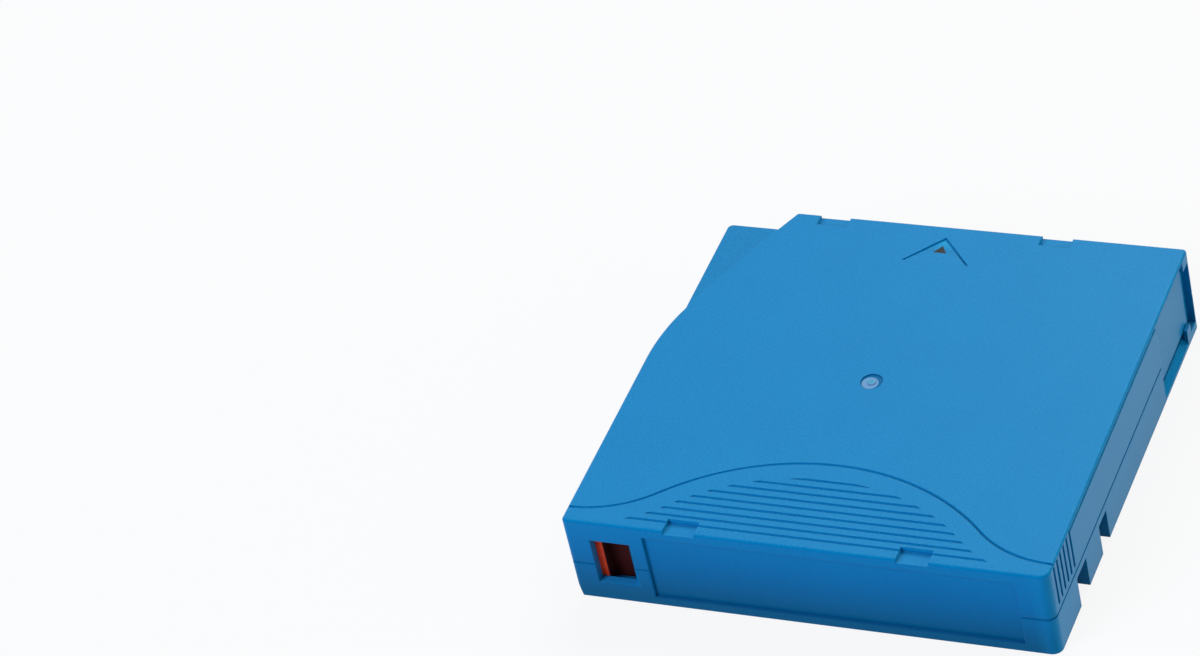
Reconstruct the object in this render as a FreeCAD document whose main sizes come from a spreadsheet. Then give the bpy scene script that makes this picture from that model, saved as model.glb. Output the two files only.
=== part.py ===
import FreeCAD, Part
import math
import os

# Single-reel half-inch data tape cartridge, 105.4 x 102.0 x 21.5 mm.
# X runs along the label edge, Y towards the end that enters the drive,
# Z up. The origin is the middle of the underside.

doc = FreeCAD.newDocument("tape_cartridge")
sheet = doc.addObject("Spreadsheet::Sheet", "dims")
DIMS = [
    # case
    ("case_width", 105.4), ("case_length", 102.0), ("case_height", 21.5),
    ("parting_height", 9.5), ("side_wall", 2.0), ("top_thick", 2.0),
    ("floor_thick", 2.0), ("edge_round", 0.6), ("front_corner_round", 2.2),
    ("corner_round", 0.9), ("shelf_corner_round", 1.3), ("base_lean", 0.9),
    ("lean_height", 4.0),
    ("parting_chamfer", 0.3),
    # keyed rear left corner
    ("reel_offset", 1.5), ("shelf_inset", 2.9), ("shelf_rear_gap", 5.8),
    ("key_inner", 14.4), ("key_outer", 17.1),
    # label recess, grips, stacking recesses and loader notches
    ("label_left", 17.5), ("label_right", 7.2), ("label_floor", 2.0),
    ("label_top", 2.6), ("label_depth", 0.7), ("grip_first", 3.8), ("grip_pitch", 2.14),
    ("grip_count", 6), ("grip_width", 0.9), ("grip_depth", 0.5),
    ("grip_floor", 11.3), ("rim_groove_front", 15.0),
    ("rim_groove_height", 0.8), ("rim_groove_depth", 0.9), ("groove_step", 0.5), ("rim_height", 0.6),
    ("stack_width", 7.0), ("stack_left", 26.1), ("stack_right", 28.6),
    ("stack_rear_depth", 3.3), ("stack_front_depth", 3.8), ("stack_sink", 1.0),
    ("notch_first", 14.5), ("notch_first_width", 6.2), ("notch_second", 30.0),
    ("notch_second_width", 5.0), ("notch_height", 7.6), ("notch_depth", 3.5),
    ("notch_wall", 1.0),
    # write-protect window and slider
    ("window_left", 5.4), ("window_right", 13.3), ("window_floor", 4.6),
    ("window_top", 5.2), ("window_bevel", 1.6), ("slider_length", 5.0),
    ("slider_depth", 4.0), ("slider_headroom", 2.2), ("slider_plate", 7.0),
    ("slider_wall", 1.1), ("slider_gap", 0.1), ("slider_travel", 6.2),
    ("rib", 1.0),
    ("rib_height", 6.0),
    # tape door on the right side
    ("door_skin", 0.8), ("door_gap", 0.1), ("door_thick", 1.3),
    ("door_web", 0.6), ("door_window_start", 24.7), ("door_window_end", 4.2),
    ("door_floor", 4.0), ("door_tail", 36.7),
    ("door_lip", 1.9), ("corner_lip_top", 3.0), ("corner_wall", 0.7),
    ("corner_recess", 0.4), ("tab_start", 7.1), ("tab_width", 2.5),
    ("lug_depth", 2.0), ("lug_reach", 3.3), ("lug_height", 4.0),
    # door spring
    ("door_spring_wire", 0.35), ("door_spring_radius", 1.2),
    ("door_spring_turns", 8), ("door_spring_height", 7.0),
    # reel
    ("access_radius", 18.0), ("rim_width", 2.0), ("reel_lift", 1.0),
    ("flange_side_gap", 0.7), ("flange_end_gap", 0.5), ("flange_thick", 1.2),
    ("flange_gap", 0.2), ("reel_headroom", 1.05), ("hub_radius", 22.0),
    ("hub_wall", 2.5), ("hub_floor", 2.0), ("tape_margin", 2.0),
    ("ring_inner", 13.0),
    ("ring_outer", 17.0), ("ring_teeth", 60), ("ring_tooth", 1.4),
    ("ring_base", 1.25), ("ring_tip", 0.4),
    ("plate_inner", 5.5), ("plate_outer", 12.0), ("plate_thick", 0.8),
    ("plate_hole", 0.9), ("plate_gap", 0.1),
    # brake, release plate and brake spring
    ("brake_inner", 8.2), ("brake_outer", 10.8), ("brake_teeth", 24),
    ("brake_ring", 1.6), ("brake_tooth", 0.8), ("brake_base", 1.5),
    ("brake_tip", 0.6), ("tooth_inset", 0.15), ("brake_gap", 0.1), ("brake_disc", 1.5),
    ("brake_stem", 5.5), ("stem_height", 5.0), ("key_post", 5.0),
    ("key_gap", 0.1), ("post_gap", 1.55), ("brake_lift", 2.0),
    ("arm_width", 3.0), ("arm_thick", 1.2), ("arm_gap", 0.6),
    ("plate_centre", 6.0), ("leg_circle", 15.0), ("leg_radius", 1.4),
    ("leg_gap", 0.3), ("brake_spring_wire", 0.6),
    ("brake_spring_radius", 7.6), ("brake_spring_turns", 4),
    ("spring_steps", 9),
    ("spring_seat", 0.8),
    # leader pin, clip, retaining springs and tape leader
    ("pin_side", 8.8), ("pin_rear", 7.0), ("pin_radius", 1.2),
    ("pin_end_radius", 2.0), ("pin_end", 1.2), ("pin_gap", 0.2),
    ("socket_gap", 0.25), ("socket_wall", 0.85), ("socket_height", 1.6),
    ("clip_wall", 0.65), ("clip_gap", 0.05), ("clip_opening", 70.0),
    ("leaf_thick", 0.25), ("leaf_height", 1.2), ("leaf_length", 9.5),
    ("leader_thick", 0.15),
    # case screws and memory chip
    ("boss_radius", 2.7), ("screw_radius", 1.2), ("screw_head", 2.0),
    ("head_height", 0.9), ("head_sink", 1.2), ("head_gap", 0.15),
    ("screw_gap", 0.05),
    ("screw_length", 12.0), ("boss_front_left_x", 6.4),
    ("boss_front_left_y", 10.2), ("boss_front_right_x", 6.3),
    ("boss_front_right_y", 5.6), ("boss_rear_left_x", 8.1),
    ("boss_rear_left_y", 11.0), ("boss_rear_right_x", 15.5),
    ("boss_rear_right_y", 5.8), ("chip_thick", 1.0), ("chip_width", 10.0),
    ("chip_height", 11.0), ("chip_rear", 24.0), ("chip_gap", 0.1),
    ("chip_cover", 0.5),
    # marks sunk in the top face
    ("mark_depth", 0.25), ("line_width", 0.6), ("line_depth", 0.45), ("bell_peak", 24.9),
    ("bell_radius", 50.8), ("bell_flank", 25.0), ("bell_join", 35.0),
    ("line_margin", 4.5), ("line_first", 19.8), ("line_pitch", 2.125),
    ("line_count", 9), ("arrow_rear", 3.7), ("arrow_length", 8.4),
    ("arrow_width", 15.1), ("arrow_depth", 0.25), ("arrow_line", 0.45), ("gate_radius", 2.4),
    ("gate_nub", 0.9), ("gate_x", 1.4), ("shelf_step", 0.12),
    ("step_rear", 14.4), ("step_side", 3.2), ("step_front", 33.0),
]
for row, (alias, value) in enumerate(DIMS, 1):
    sheet.set(f"A{row}", alias)
    sheet.set(f"B{row}", str(value))
    sheet.setAlias(f"B{row}", alias)
doc.recompute()


class Size:
    """A length that knows both its value and its spreadsheet expression."""

    def __init__(self, value, text):
        self.v, self.t = float(value), text

    def _with(self, other, sign, value):
        return Size(value, f"({self.t} {sign} {size(other).t})")

    def __add__(self, o):
        return self._with(o, "+", self.v + size(o).v)

    def __sub__(self, o):
        return self._with(o, "-", self.v - size(o).v)

    def __mul__(self, o):
        return self._with(o, "*", self.v * size(o).v)

    def __truediv__(self, o):
        return self._with(o, "/", self.v / size(o).v)

    def __radd__(self, o):
        return size(o) + self

    def __rsub__(self, o):
        return size(o) - self

    def __rmul__(self, o):
        return size(o) * self

    def __rtruediv__(self, o):
        return size(o) / self

    def __neg__(self):
        return Size(-self.v, f"(0 - {self.t})")


def size(x):
    return x if isinstance(x, Size) else Size(x, repr(float(x)))


def root(x):
    return Size(math.sqrt(x.v), f"sqrt({x.t})")


def smaller(a, b):
    return Size(min(a.v, b.v), f"min({a.t}; {b.t})")


def d(alias):
    return Size(sheet.get(alias), f"dims.{alias}")


def bind(obj, prop, x):
    obj.setExpression(prop, size(x).t)


def place(obj, x=0, y=0, z=0):
    for axis, q in zip("xyz", (x, y, z)):
        bind(obj, f"Placement.Base.{axis}", q)


# ---- Part primitives ----
def box(name, x, y, z):
    """A block between the two values given for each axis."""
    b = doc.addObject("Part::Box", name)
    for prop, (lo, hi) in zip(("Length", "Width", "Height"), (x, y, z)):
        bind(b, prop, size(hi) - lo)
    place(b, x[0], y[0], z[0])
    return b


def rod(name, x, y, z, radius):
    c = doc.addObject("Part::Cylinder", name)
    bind(c, "Radius", radius)
    bind(c, "Height", size(z[1]) - z[0])
    place(c, x, y, z[0])
    return c


def fuse(name, shapes):
    f = doc.addObject("Part::MultiFuse", name)
    f.Shapes = shapes
    f.Refine = True
    return f


def cut(name, base, tools):
    c = doc.addObject("Part::Cut", name)
    c.Base = base
    c.Tool = tools[0] if len(tools) == 1 else fuse(name + "_tools", tools)
    c.Refine = True
    return c


# ---- PartDesign bodies ----
def body(name):
    return doc.addObject("PartDesign::Body", name)


def sketch(b, name, role="XY_Plane", offset=None):
    plane = [f for f in b.Origin.OriginFeatures if f.Role == role][0]
    s = b.newObject("Sketcher::SketchObject", name)
    s.AttachmentSupport = (plane, [""])
    s.MapMode = "FlatFace"
    if offset is not None:
        bind(s, "AttachmentOffset.Base.z", offset)
    return s


def pin_point(s, geo, pos, x, y):
    """Fix a sketch point at two bound distances; None leaves one free."""
    for kind, q in (("DistanceX", x), ("DistanceY", y)):
        if q is not None:
            i = s.addConstraint(
                Part_constraint(kind, -1, 1, geo, pos, size(q).v))
            bind(s, f"Constraints[{i}]", q)


def Part_constraint(*args):
    import Sketcher
    return Sketcher.Constraint(*args)


def polygon(s, points):
    """A closed outline. Each point is (x, y); an 'arc' entry before a point
    makes the side that reaches it a clockwise arc about a centre, and a
    'back' entry one the other way round."""
    corners = [p for p in points if p[0] not in ("arc", "back")]
    centres = {}
    n = -1
    for p in points:
        if p[0] in ("arc", "back"):
            centres[n] = p[1:] + (p[0],)
        else:
            n += 1
    vec = [FreeCAD.Vector(size(p[0]).v, size(p[2] if len(p) > 2 else p[1]).v, 0)
           for p in corners]
    sides = []
    for i, a in enumerate(vec):
        b = vec[(i + 1) % len(vec)]
        if i in centres:
            c = FreeCAD.Vector(size(centres[i][0]).v, size(centres[i][1]).v, 0)
            r = (a - c).Length
            turn = centres[i][2]
            first, last = (b, a) if turn == "arc" else (a, b)
            start = math.atan2(first.y - c.y, first.x - c.x)
            end = math.atan2(last.y - c.y, last.x - c.x)
            if end < start:
                end += 2 * math.pi
            g = s.addGeometry(Part.ArcOfCircle(
                Part.Circle(c, FreeCAD.Vector(0, 0, 1), r), start, end))
            sides.append((g, 2, 1) if turn == "arc" else (g, 1, 2))
        else:
            g = s.addGeometry(Part.LineSegment(a, b))
            sides.append((g, 1, 2))
    for i, (g, first, last) in enumerate(sides):
        h, nxt, _ = sides[(i + 1) % len(sides)]
        s.addConstraint(Part_constraint("Coincident", g, last, h, nxt))
    for i, p in enumerate(corners):
        g, first, last = sides[i]
        pin_point(s, g, first, p[0], p[1])
        if i in centres:
            pin_point(s, g, 3, *centres[i][:2])
    return s


def pad(b, s, length, name, reverse=False):
    p = b.newObject("PartDesign::Pad", name)
    p.Profile = s
    bind(p, "Length", length)
    p.Reversed = reverse
    s.Visibility = False
    return p


def pocket(b, s, length, name, reverse=False):
    p = b.newObject("PartDesign::Pocket", name)
    p.Profile = s
    bind(p, "Length", length)
    p.Reversed = reverse
    return p


def revolve(b, s, name):
    r = b.newObject("PartDesign::Revolution", name)
    r.Profile = s
    r.ReferenceAxis = (s, ["V_Axis"])
    r.Angle = 360
    return r


def ring(b, feature, count, name):
    p = b.newObject("PartDesign::PolarPattern", name)
    p.Originals = [feature]
    axis = [f for f in b.Origin.OriginFeatures if f.Role == "Z_Axis"][0]
    p.Axis = (axis, [""])
    p.Angle = 360
    bind(p, "Occurrences", count)
    b.Tip = p
    return p


def edges_where(feature, test):
    return [f"Edge{i}" for i, e in enumerate(feature.Shape.Edges, 1) if test(e)]


def finish(obj, label):
    obj.Label = label
    parts.append(obj)
    return obj


parts = []

# ---- positions that several pieces share ----
half_w = d("case_width") / 2
half_l = d("case_length") / 2
top = d("case_height")
part_z = d("parting_height")
wall = d("side_wall")
floor_z = d("floor_thick")
ceiling = top - d("top_thick")
reel_x = -d("reel_offset")
shelf_x = half_w - d("shelf_inset")
shelf_y = half_l - d("shelf_rear_gap")
inner_x = half_w - wall
inner_y = half_l - wall
label_x = (d("label_left") - half_w, half_w - d("label_right"))
window_x = (d("window_left") - half_w, d("window_right") - half_w)
window_z = top - d("window_top")
notches = {"first": (d("notch_first") - half_l, d("notch_first_width")),
           "second": (d("notch_second") - half_l, d("notch_second_width"))}
# the door's opening, its tail and the channel that it slides in
door_y = (half_l - d("door_window_start"), half_l - d("door_window_end"))
tail_y = half_l - d("door_tail")
channel_y = sum(notches["second"], size(0)) + d("notch_wall")
tab_y = half_l - d("tab_start")
pin_x, pin_y = half_w - d("pin_side"), half_l - d("pin_rear")
# the reel fills the case between its side and end gaps
flange_r = smaller(inner_x - d("reel_offset") - d("flange_side_gap"),
                   inner_y - d("flange_end_gap"))
tape_r = flange_r - d("tape_margin")
reel_z = floor_z + d("reel_lift")
tape_z = reel_z + d("flange_thick") + d("flange_gap")
upper_flange_z = ceiling - d("reel_headroom") - d("flange_thick")
tape_w = upper_flange_z - d("flange_gap") - tape_z
hub_floor = d("hub_floor")
# the root of the brake's teeth, above the reel's underside
disc_z = hub_floor + d("brake_ring") + d("brake_tooth") + d("brake_gap")


def plan(s, inset):
    """The case outline, seen from above, drawn in by inset all round."""
    x, y = half_w - inset, half_l - inset
    sx, sy = shelf_x - inset, shelf_y - inset
    reach = x - d("reel_offset")
    rise = math.sqrt(reach.v ** 2 - (sx.v - d("reel_offset").v) ** 2)
    return polygon(s, [
        (-x, 0), ("arc", reel_x, 0), (-sx, None, rise), (-sx, sy),
        (d("key_inner") + inset / 2 - half_w, sy),
        (d("key_outer") + inset / 2 - half_w, y),
        (x, y), (x, -y), (-x, -y)])


def shell(name, z0, z1):
    """A half case: the outline padded up and its inside pocketed out."""
    b = body(name)
    outer = pad(b, plan(sketch(b, name + "_plan", offset=z0), size(0)),
                z1 - z0, name + "_block")
    doc.recompute()
    front_r = d("front_corner_round")
    corners = {}
    for i, e in enumerate(outer.Shape.Edges, 1):
        mid = e.CenterOfMass
        if abs(e.tangentAt(e.FirstParameter).z) < 0.99:
            continue
        if mid.x > half_w.v - 0.01 and mid.y < 0:
            corners.setdefault("front_corner_round", []).append(f"Edge{i}")
        elif mid.x < -shelf_x.v + 0.01 and abs(mid.y - shelf_y.v) < 0.01:
            corners.setdefault("shelf_corner_round", []).append(f"Edge{i}")
        elif abs(mid.y) > half_l.v - 0.01:
            corners.setdefault("corner_round", []).append(f"Edge{i}")
    last = outer
    for alias in sorted(corners):
        # edges are looked up again, because each fillet renumbers them
        wanted = [outer.Shape.Edges[int(n[4:]) - 1].CenterOfMass
                  for n in corners[alias]]
        f = b.newObject("PartDesign::Fillet", f"{name}_{alias}")
        f.Base = (last, edges_where(last, lambda e: any(
            (e.CenterOfMass - w).Length < 0.01 for w in wanted)))
        bind(f, "Radius", d(alias))
        doc.recompute()
        last = f
    # the two halves' edges are eased where they meet
    edge = b.newObject("PartDesign::Chamfer", name + "_parting")
    edge.Base = (last, edges_where(last, lambda e: abs(
        e.BoundBox.ZMin - part_z.v) + abs(e.BoundBox.ZMax - part_z.v) < 0.01))
    bind(edge, "Size", d("parting_chamfer"))
    doc.recompute()
    return b, edge


# ---- upper shell ----
upper, last = shell("upper_moulding", part_z, top)
rim = upper.newObject("PartDesign::Fillet", "upper_rim_round")
rim.Base = (last, edges_where(
    last, lambda e: e.BoundBox.ZMin > top.v - 0.01))
bind(rim, "Radius", d("edge_round"))
hollow = plan(sketch(upper, "upper_cavity_plan", offset=part_z), wall)
pocket(upper, hollow, ceiling - part_z, "upper_cavity", reverse=True)
doc.recompute()

bosses = {
    "front_left": (d("boss_front_left_x") - half_w,
                   d("boss_front_left_y") - half_l),
    "front_right": (half_w - d("boss_front_right_x"),
                    d("boss_front_right_y") - half_l),
    "rear_left": (d("boss_rear_left_x") - half_w,
                  half_l - d("boss_rear_left_y")),
    "rear_right": (half_w - d("boss_rear_right_x"),
                   half_l - d("boss_rear_right_y")),
}
skin_x = half_w - d("door_skin")
door_x = skin_x - d("door_gap")
door_in = door_x - d("door_thick")
web_x = door_in + d("door_web")
lip_y = half_l - d("corner_wall") - d("corner_recess")
rim_z = top - d("rim_height")

# the screw bosses stand on the floor of the lower shell
upper_adds = [rod(f"screw_boss_{n}", x, y, (floor_z, ceiling + 0.5),
                  d("boss_radius")) for n, (x, y) in bosses.items()]
# the front panel behind the label reaches down over the lower shell
upper_adds.append(box("label_panel", label_x,
                      (-half_l, wall - half_l),
                      (d("label_floor"), part_z + 1)))
socket_r = d("pin_end_radius") + d("socket_gap")
mouth = socket_r + d("socket_wall") / 2
upper_adds.append(rod("upper_socket", pin_x, pin_y,
                      (ceiling - d("socket_height"), ceiling + 0.5),
                      socket_r + d("socket_wall")))
post_half = d("key_post") / 2
upper_adds.append(box("brake_post",
                      (reel_x - post_half, reel_x + post_half),
                      (-post_half, post_half),
                      (reel_z + disc_z + d("brake_disc") / 2
                       + d("brake_lift") + d("post_gap"), ceiling + 0.5)))
seat_r = d("brake_spring_radius") + d("brake_spring_wire") / 2 + 0.2
seat_ring = cut("spring_seat_ring", rod(
    "seat_outer", reel_x, 0, (ceiling - d("spring_seat"), ceiling + 0.5),
    seat_r + d("rib")), [rod("seat_inner", reel_x, 0,
                             (ceiling - d("spring_seat"), ceiling + 0.5),
                             seat_r)])
upper_adds.append(seat_ring)
leaf_x = pin_x + d("pin_end_radius") + 0.05
anchor_y = pin_y - d("leaf_length") + d("pin_end_radius")


def anchor(name, z0, z1):
    return box(name, (leaf_x - 0.7, leaf_x + d("leaf_thick") + 0.7),
               (anchor_y - 1, anchor_y + 1.5), (z0, z1))


upper_adds.append(anchor("upper_anchor", ceiling - d("socket_height"),
                         ceiling + 0.5))

upper_cuts = [rod(f"upper_hole_{n}", x, y,
                  (floor_z - 1, floor_z + d("screw_length") + 0.3),
                  d("screw_radius") + d("screw_gap"))
              for n, (x, y) in bosses.items()]
upper_cuts.append(box("upper_label_recess",
                      label_x, (-half_l - 1, d("label_depth") - half_l),
                      (d("label_floor") - 1, top - d("label_top"))))
upper_cuts += [
    rod("upper_socket_bore", pin_x, pin_y,
        (ceiling - d("socket_height") - 1, ceiling), socket_r),
    box("upper_socket_mouth", (pin_x, pin_x + 4),
        (pin_y - mouth, pin_y + mouth),
        (ceiling - d("socket_height") - 1, ceiling)),
    box("upper_anchor_slot", (leaf_x - 0.05, leaf_x + d("leaf_thick") + 0.05),
        (anchor_y - 1, anchor_y + 2), (ceiling - d("socket_height") - 1,
                                       ceiling)),
    box("upper_door_channel", (door_in - 0.1, skin_x),
        (channel_y, lip_y), (part_z - 1, ceiling)),
    box("upper_door_window", (skin_x, half_w + 1),
        door_y, (part_z - 1, rim_z)),
    box("upper_corner_recess", (skin_x - 0.1, half_w + 1),
        (door_y[1], lip_y), (part_z - 1, top - d("corner_lip_top"))),
    box("upper_corner_step", (inner_x, half_w + 1),
        (half_l - d("corner_recess"), half_l + 1),
        (part_z - 1, top - d("corner_lip_top"))),
]
# write-protect window: one opening through both halves, sloped at its right
bevel = d("window_bevel")


def window_cut(name):
    b = body(name)
    s = polygon(sketch(b, name + "_plan", offset=d("window_floor")), [
        (window_x[0], -half_l - 1),
        (window_x[1] + bevel + 0.6, -half_l - 1),
        (window_x[1], bevel - half_l), (window_x[1], wall - half_l + 0.01),
        (window_x[0], wall - half_l + 0.01)])
    pad(b, s, window_z - d("window_floor"), name + "_pad")
    return b


upper_cuts.append(window_cut("upper_window"))


def grooves(side):
    """Vertical finger grips with rounded lower ends, near the label end."""
    made = []
    for i in range(int(d("grip_count").v)):
        y = d("grip_pitch") * i + d("grip_first") - half_l
        x = ((half_w - d("grip_depth"), half_w + 1) if side > 0
             else (-half_w - 1, d("grip_depth") - half_w))
        n = f"grip_{'right' if side > 0 else 'left'}_{i}"
        made.append(box(n, x, (y - d("grip_width") / 2, y + d("grip_width") / 2),
                        (d("grip_floor"), rim_z)))
        end = doc.addObject("Part::Cylinder", n + "_end")
        bind(end, "Radius", d("grip_width") / 2)
        bind(end, "Height", size(x[1]) - x[0])
        end.Placement = FreeCAD.Placement(
            FreeCAD.Vector(), FreeCAD.Rotation(FreeCAD.Vector(0, 1, 0), 90))
        place(end, x[0], y, d("grip_floor"))
        made.append(end)
    return made


upper_cuts += grooves(1) + grooves(-1)
for side, sx in (("right", 1), ("left", -1)):
    x = ((half_w - d("rim_groove_depth"), half_w + 1) if sx > 0
         else (-half_w - 1, d("rim_groove_depth") - half_w))
    y = (d("rim_groove_front") - half_l, door_y[0] if sx > 0 else size(0))
    upper_cuts.append(box(f"rim_groove_{side}", x, y,
                          (rim_z - d("rim_groove_height"), rim_z)))
upper_cuts.append(box("rim_groove_door",
                      (half_w - d("rim_groove_depth") - d("groove_step"),
                       half_w + 1), (door_y[0] - 1, door_y[1]),
                      (rim_z - d("rim_groove_height"), rim_z)))
for side, x in (("left", d("stack_left") - half_w),
                ("right", half_w - d("stack_right"))):
    xs = (x - d("stack_width") / 2, x + d("stack_width") / 2)
    zs = (top - d("stack_sink"), top + 1)
    upper_cuts.append(box(f"stack_rear_{side}", xs,
                          (half_l - d("stack_rear_depth"), half_l + 1), zs))
    upper_cuts.append(box(f"stack_front_{side}", xs,
                          (-half_l - 1, d("stack_front_depth") - half_l), zs))


# ---- marks sunk in the top: bell line, lines under it, arrow, gate ----
bell_y = -half_l + d("bell_peak") - d("bell_radius")
join_y = root(d("bell_radius") * d("bell_radius")
              - d("bell_join") * d("bell_join"))
flank_x = d("bell_join") * (1 + d("bell_flank") / d("bell_radius"))
flank_y = bell_y + join_y * (1 + d("bell_flank") / d("bell_radius"))


def bell(inside, end_x):
    """The bell curve, drawn in by inside: its joins and its end height."""
    share = 1 - inside / d("bell_radius")
    jx, jy = d("bell_join") * share, bell_y + join_y * share
    r = d("bell_flank") + inside
    end = flank_y.v - math.sqrt(r.v ** 2 - (end_x.v - flank_x.v) ** 2)
    return jx, jy, end


def bell_groove():
    b = body("bell_groove")
    out, end_x = d("line_width") / 2, half_w + 1
    ux, uy, u_end = bell(-out, end_x)
    lx, ly, l_end = bell(out, end_x)
    s = polygon(sketch(b, "bell_plan", offset=top - d("line_depth")), [
        (-end_x, None, u_end), ("back", -flank_x, flank_y), (-ux, uy),
        ("arc", 0, bell_y), (ux, None, uy), ("back", flank_x, flank_y),
        (end_x, None, u_end), (end_x, None, l_end),
        ("arc", flank_x, flank_y), (lx, ly), ("back", 0, bell_y),
        (-lx, None, ly), ("arc", -flank_x, flank_y), (-end_x, None, l_end)])
    pad(b, s, d("line_depth") + 1, "bell_pad")
    return b


def line_field():
    """Parallel lines that end at an even distance inside the bell."""
    b = body("line_limit")
    end_x = d("bell_join") * 1.25
    jx, jy, end = bell(d("line_margin"), end_x)
    s = polygon(sketch(b, "line_limit_plan", offset=top - d("line_depth")), [
        (-end_x, -half_l - 2), (-end_x, None, end),
        ("back", -flank_x, flank_y), (-jx, jy), ("arc", 0, bell_y),
        (jx, None, jy), ("back", flank_x, flank_y), (end_x, None, end),
        (end_x, -half_l - 2)])
    pad(b, s, d("line_depth") + 1, "line_limit_pad")
    strips = []
    for i in range(int(d("line_count").v)):
        y = d("line_first") - d("line_pitch") * i - half_l
        strips.append(box(f"line_{i}", (-end_x, end_x),
                          (y - d("line_width") / 2, y + d("line_width") / 2),
                          (top - d("line_depth"), top + 1)))
    c = doc.addObject("Part::Common", "line_field")
    c.Base, c.Tool = fuse("line_strips", strips), b
    return c


def arrow():
    """A triangle whose floor falls from its base to its tip, with a narrow
    line along each of its two far edges."""
    tip_y = half_l - d("arrow_rear")
    base_y = tip_y - d("arrow_length")
    side = d("arrow_width") / 2
    plan_ = body("arrow_plan")
    s = polygon(sketch(plan_, "arrow_outline", offset=top - d("arrow_depth")),
                [(-side, base_y), (side, base_y), (0, tip_y)])
    pad(plan_, s, d("arrow_depth") + 1, "arrow_pad")
    ramp = body("arrow_ramp")
    s = polygon(sketch(ramp, "arrow_section", "YZ_Plane", offset=-side), [
        (base_y, top), (tip_y, top - d("arrow_depth")),
        (tip_y + 1, top - d("arrow_depth")), (tip_y + 1, top + 1),
        (base_y, top + 1)])
    pad(ramp, s, side * 2, "arrow_ramp_pad")
    c = doc.addObject("Part::Common", "arrow")
    c.Base, c.Tool = plan_, ramp
    edge = root(side * side + d("arrow_length") * d("arrow_length"))
    along, up = (d("arrow_line") * edge / d("arrow_length"),
                 d("arrow_line") * edge / side)
    lines = body("arrow_lines")
    s = polygon(sketch(lines, "arrow_line_plan",
                       offset=top - d("line_depth")), [
        (-side, base_y), (along - side, base_y), (0, tip_y - up),
        (side - along, base_y), (side, base_y), (0, tip_y)])
    pad(lines, s, d("line_depth") + 1, "arrow_line_pad")
    return fuse("arrow_mark", [c, lines])


gate_z = (top - d("mark_depth"), top + 1)
gate_x = -d("gate_x")
shelf_mark = body("shelf_step")
s = polygon(sketch(shelf_mark, "shelf_step_plan",
                   offset=top - d("shelf_step")), [
    (d("step_side") - half_w, half_l - d("step_front")),
    (d("step_rear") - half_w, shelf_y + 1), (-half_w - 1, shelf_y + 1),
    (-half_w - 1, half_l - d("step_front"))])
pad(shelf_mark, s, d("shelf_step") + 1, "shelf_step_pad")
upper_cuts += [bell_groove(), line_field(), arrow(), shelf_mark,
               cut("gate_mark", rod("gate_dimple", gate_x, 0, gate_z,
                                    d("gate_radius")),
                   [rod("gate_nub", gate_x, 0, gate_z, d("gate_nub"))])]
finish(cut("upper_shell_cut", fuse("upper_shell_body", [upper] + upper_adds),
           upper_cuts), "upper_shell")

# ---- lower shell ----
lower, last = shell("lower_moulding", size(0), part_z)
hollow = plan(sketch(lower, "lower_cavity_plan", offset=floor_z), wall)
pocket(lower, hollow, part_z - floor_z, "lower_cavity", reverse=True)
doc.recompute()

notch_x = half_w - d("notch_depth")
lower_adds = [rod("reel_rim", reel_x, 0, (floor_z - 0.5, reel_z),
                  d("access_radius") + d("rim_width"))]
for n, (y, w) in notches.items():
    for side, sx in (("right", 1), ("left", -1)):
        x = ((notch_x - d("notch_wall"), half_w - 0.5) if sx > 0
             else (0.5 - half_w, d("notch_wall") - notch_x))
        lower_adds.append(box(
            f"notch_wall_{n}_{side}", x,
            (y - d("notch_wall"), y + w + d("notch_wall")),
            (floor_z - 0.5, d("notch_height") + d("notch_wall"))))
slider_x = d("slider_gap") - inner_x
slider_y = wall - half_l + d("slider_gap")
rail_y = slider_y + d("slider_depth") + d("slider_gap")
# the slider's block meets the stop; its thin plate passes behind it
stop_x = slider_x + d("slider_length") + d("slider_travel") + d("slider_gap")
plate_y = slider_y + d("slider_depth") - d("slider_wall")
lower_adds += [
    box("slider_rail", (0.5 - inner_x - 0.7, stop_x + d("slider_plate")),
        (rail_y, rail_y + d("rib")), (floor_z - 0.5,
                                      floor_z + d("rib_height"))),
    box("slider_stop", (stop_x, stop_x + d("rib")),
        (wall - half_l - 0.5, plate_y - d("slider_gap")),
        (floor_z - 0.5, floor_z + d("rib_height"))),
    rod("lower_socket", pin_x, pin_y,
        (floor_z - 0.5, floor_z + d("socket_height")),
        socket_r + d("socket_wall")),
    anchor("lower_anchor", floor_z - 0.5, floor_z + d("socket_height")),
]
chip_x = -(shelf_x - wall) + d("chip_gap")
chip_y = half_l - d("chip_rear")
chip_end = chip_x + d("chip_thick") + d("chip_cover")
lower_adds.append(box("chip_rib", (chip_end + d("chip_gap"),
                                   chip_end + d("chip_gap") + d("rib")),
                      (chip_y + 1, chip_y + d("chip_width") - 1),
                      (floor_z - 0.5, floor_z + d("rib_height") / 2)))
# inner rail that keeps the door against the case side
lower_adds.append(box("door_rail", (door_in - 0.1 - d("rib"), door_in - 0.1),
                      (tail_y - 0.3, half_l - wall + 0.5),
                      (floor_z - 0.5, d("door_floor") - 0.4)))

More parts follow.
